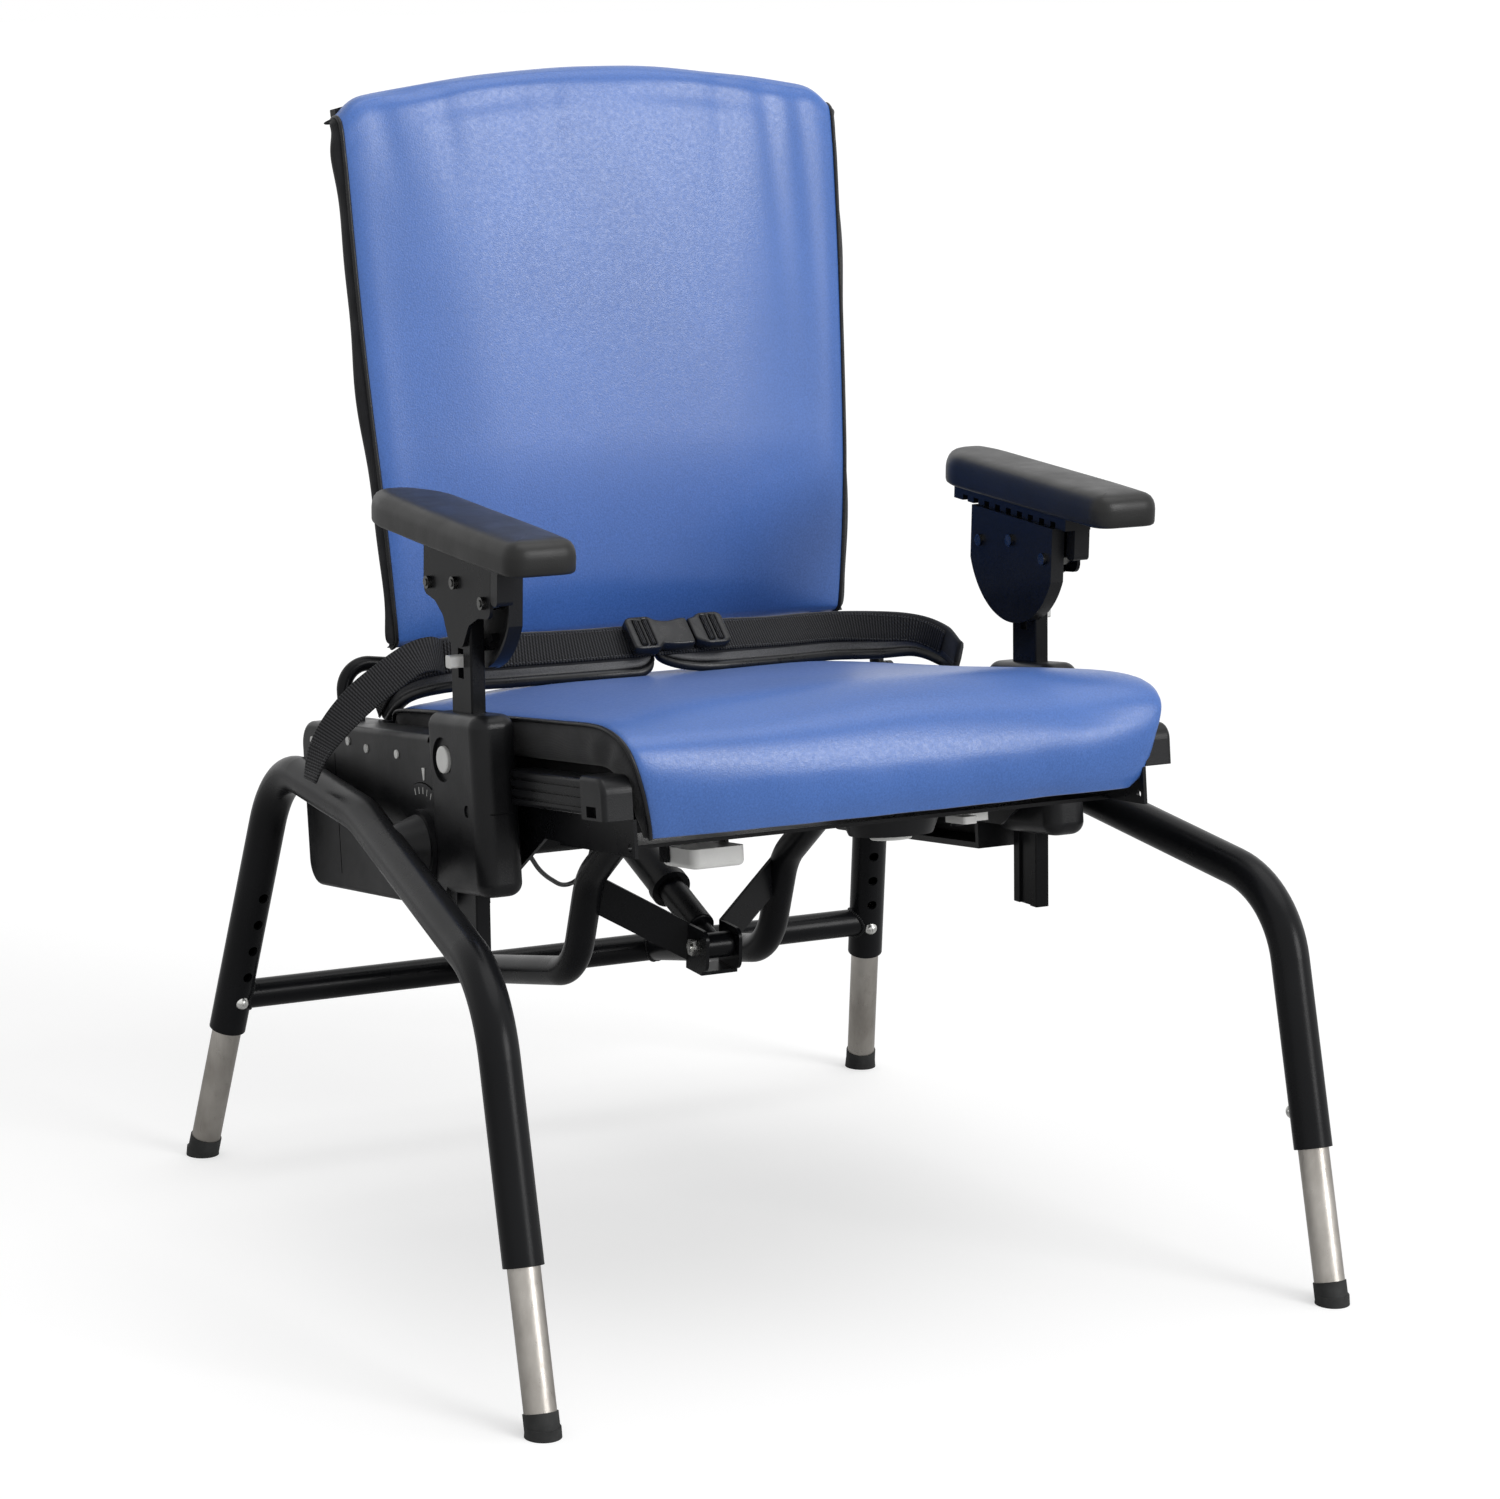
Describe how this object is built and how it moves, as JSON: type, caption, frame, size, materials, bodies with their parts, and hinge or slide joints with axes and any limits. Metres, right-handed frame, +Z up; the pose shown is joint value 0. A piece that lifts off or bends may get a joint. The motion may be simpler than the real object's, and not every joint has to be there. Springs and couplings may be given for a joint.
{
  "type": "adjustable activity chair",
  "caption": "Adjustable activity chair: tubular splayed frame with telescoping legs, tilting blue padded seat and back, height-adjustable arm rests and a hip belt.",
  "frame": {"origin": "on the floor, under the middle of the bounding box", "axes": "+Z up, -Y is the way the sitter faces, +X is the sitter's left"},
  "size_m": [0.7398, 0.7824, 0.9594],
  "materials": {
    "black_metal": "satin black powder coat",
    "zinc_steel": "zinc plated",
    "leg_steel": "brushed, slightly warm",
    "foot_rubber": "matte",
    "black_plastic": "fine grained",
    "white_plastic": "smooth",
    "blue_vinyl": "satin coated vinyl over foam",
    "board": "black stained board",
    "arm_foam": "moulded skin foam",
    "webbing": "woven, padded"
  },
  "bodies": {
    "base": {"side_frame_left": "black_metal", "side_frame_right": "black_metal", "rear_cross_tube": "black_metal", "tilt_axle": "black_metal", "tilt_hub_left": "black_plastic", "tilt_hub_right": "black_plastic", "risers": "black_metal", "spring_bracket": "black_metal", "base_fasteners": "zinc_steel"},
    "seat_frame": {"side_plate_left": "black_metal", "side_plate_right": "black_metal", "seat_rails": "black_metal", "rail_caps": "black_plastic", "side_housing_left": "black_plastic", "side_housing_right": "black_plastic", "housing_marks": "white_plastic", "arm_sleeve_left": "black_plastic", "arm_sleeve_right": "black_plastic", "rear_beam": "black_metal", "front_crossmember": "black_metal", "lock_housing": "black_plastic", "release_cable": "black_plastic", "belt_pads": "webbing", "belt_webbing": "webbing", "buckle_socket": "black_plastic", "buckle_plug": "black_plastic"},
    "seat": {"seat_board": "board", "seat_cushion": "blue_vinyl"},
    "back": {"back_rod_left": "black_metal", "back_rod_right": "black_metal", "back_shell": "board", "back_cushion": "blue_vinyl"},
    "gas_spring_body": {"gas_spring_body": "black_metal"},
    "gas_spring_sheath": {"gas_spring_sheath": "black_metal"},
    "tilt_paddle": {"tilt_paddle": "white_plastic"},
    "depth_lever": {"depth_lever": "white_plastic"},
    "lock_button": {"lock_button": "white_plastic"},
    "leg_front_left": {"leg_front_left": "leg_steel", "foot_front_left": "foot_rubber"},
    "leg_front_right": {"leg_front_right": "leg_steel", "foot_front_right": "foot_rubber"},
    "leg_rear_left": {"leg_rear_left": "leg_steel", "foot_rear_left": "foot_rubber"},
    "leg_rear_right": {"leg_rear_right": "leg_steel", "foot_rear_right": "foot_rubber"},
    "arm_post_left": {"arm_post_left": "black_metal"},
    "arm_head_left": {"arm_carrier_left": "black_plastic", "arm_plate_left": "black_metal", "arm_bolts_left": "zinc_steel", "arm_pad_left": "arm_foam"},
    "angle_latch_left": {"angle_latch_left": "white_plastic"},
    "arm_button_left": {"arm_button_left": "white_plastic"},
    "arm_post_right": {"arm_post_right": "black_metal"},
    "arm_head_right": {"arm_carrier_right": "black_plastic", "arm_plate_right": "black_metal", "arm_bolts_right": "zinc_steel", "arm_pad_right": "arm_foam"},
    "angle_latch_right": {"angle_latch_right": "white_plastic"},
    "arm_button_right": {"arm_button_right": "white_plastic"}
  },
  "joints": [
    {"name": "seat_tilt", "type": "hinge", "parent": "base", "child": "seat_frame", "pos_m": [0, 0.0183, 0.3557], "axis": [-1, 0, 0], "range_deg": [-12, 12]},
    {"name": "gas_spring_swing", "type": "hinge", "parent": "base", "child": "gas_spring_body", "pos_m": [0, 0.04, 0.2375], "axis": [1, 0, 0], "range_deg": [-18, 18]},
    {"name": "gas_spring_stroke", "type": "slide", "parent": "gas_spring_body", "child": "gas_spring_sheath", "axis": [0, 0.9441, 0.3297], "range_m": [-0.03, 0.03]},
    {"name": "back_recline", "type": "hinge", "parent": "seat_frame", "child": "back", "pos_m": [0, 0.22804, 0.41633], "axis": [-1, 0, 0], "range_deg": [0, 25]},
    {"name": "seat_depth", "type": "slide", "parent": "seat_frame", "child": "seat", "axis": [0, -0.9882, 0.153], "range_m": [0, 0.1]},
    {"name": "tilt_paddle_squeeze", "type": "hinge", "parent": "seat_frame", "child": "tilt_paddle", "pos_m": [-0.114, -0.14119, 0.37128], "axis": [-1, 0, 0], "range_deg": [0, 6], "stiffness_Nm_per_rad": 6, "springref_deg": -5.73},
    {"name": "depth_lever_turn", "type": "hinge", "parent": "seat_frame", "child": "depth_lever", "pos_m": [0.106, -0.17539, 0.38569], "axis": [0, 0.153, 0.9882], "range_deg": [0, 15], "stiffness_Nm_per_rad": 0.3, "springref_deg": -5.73},
    {"name": "lock_button_press", "type": "slide", "parent": "seat_frame", "child": "lock_button", "axis": [0, 0.153, 0.9882], "range_m": [0, 0.003], "stiffness_N_per_m": 900, "springref_m": -0.002},
    {"name": "leg_front_left_height", "type": "slide", "parent": "base", "child": "leg_front_left", "axis": [0, 0.2873, 0.9578], "range_m": [0, 0.1016]},
    {"name": "leg_front_right_height", "type": "slide", "parent": "base", "child": "leg_front_right", "axis": [0, 0.2873, 0.9578], "range_m": [0, 0.1016]},
    {"name": "leg_rear_left_height", "type": "slide", "parent": "base", "child": "leg_rear_left", "axis": [-0.1067, -0.2201, 0.9696], "range_m": [0, 0.1016]},
    {"name": "leg_rear_right_height", "type": "slide", "parent": "base", "child": "leg_rear_right", "axis": [0.1067, -0.2201, 0.9696], "range_m": [0, 0.1016]},
    {"name": "arm_left_height", "type": "slide", "parent": "seat_frame", "child": "arm_post_left", "axis": [0, 0.0658, 0.9978], "range_m": [-0.025, 0.1]},
    {"name": "arm_left_angle", "type": "hinge", "parent": "arm_post_left", "child": "arm_head_left", "pos_m": [0.2597, -0.02283, 0.57849], "axis": [1, 0, 0], "range_deg": [-15, 15]},
    {"name": "angle_latch_left_pull", "type": "slide", "parent": "arm_post_left", "child": "angle_latch_left", "axis": [0, -0.0658, -0.9978], "range_m": [0, 0.007], "stiffness_N_per_m": 600, "springref_m": -0.002},
    {"name": "arm_button_left_press", "type": "slide", "parent": "seat_frame", "child": "arm_button_left", "axis": [-1, 0, 0], "range_m": [0, 0.0035], "stiffness_N_per_m": 800, "springref_m": -0.002},
    {"name": "arm_right_height", "type": "slide", "parent": "seat_frame", "child": "arm_post_right", "axis": [0, 0.0658, 0.9978], "range_m": [-0.025, 0.1]},
    {"name": "arm_right_angle", "type": "hinge", "parent": "arm_post_right", "child": "arm_head_right", "pos_m": [-0.2597, -0.02283, 0.57849], "axis": [1, 0, 0], "range_deg": [-15, 15]},
    {"name": "angle_latch_right_pull", "type": "slide", "parent": "arm_post_right", "child": "angle_latch_right", "axis": [0, -0.0658, -0.9978], "range_m": [0, 0.007], "stiffness_N_per_m": 600, "springref_m": -0.002},
    {"name": "arm_button_right_press", "type": "slide", "parent": "seat_frame", "child": "arm_button_right", "axis": [1, 0, 0], "range_m": [0, 0.0035], "stiffness_N_per_m": 800, "springref_m": -0.002}
  ],
  "couplings": [
    {"joint": "gas_spring_swing", "follows": "seat_tilt", "ratio": -0.91139},
    {"joint": "gas_spring_stroke", "follows": "seat_tilt", "m_per_rad": -0.11834}
  ]
}
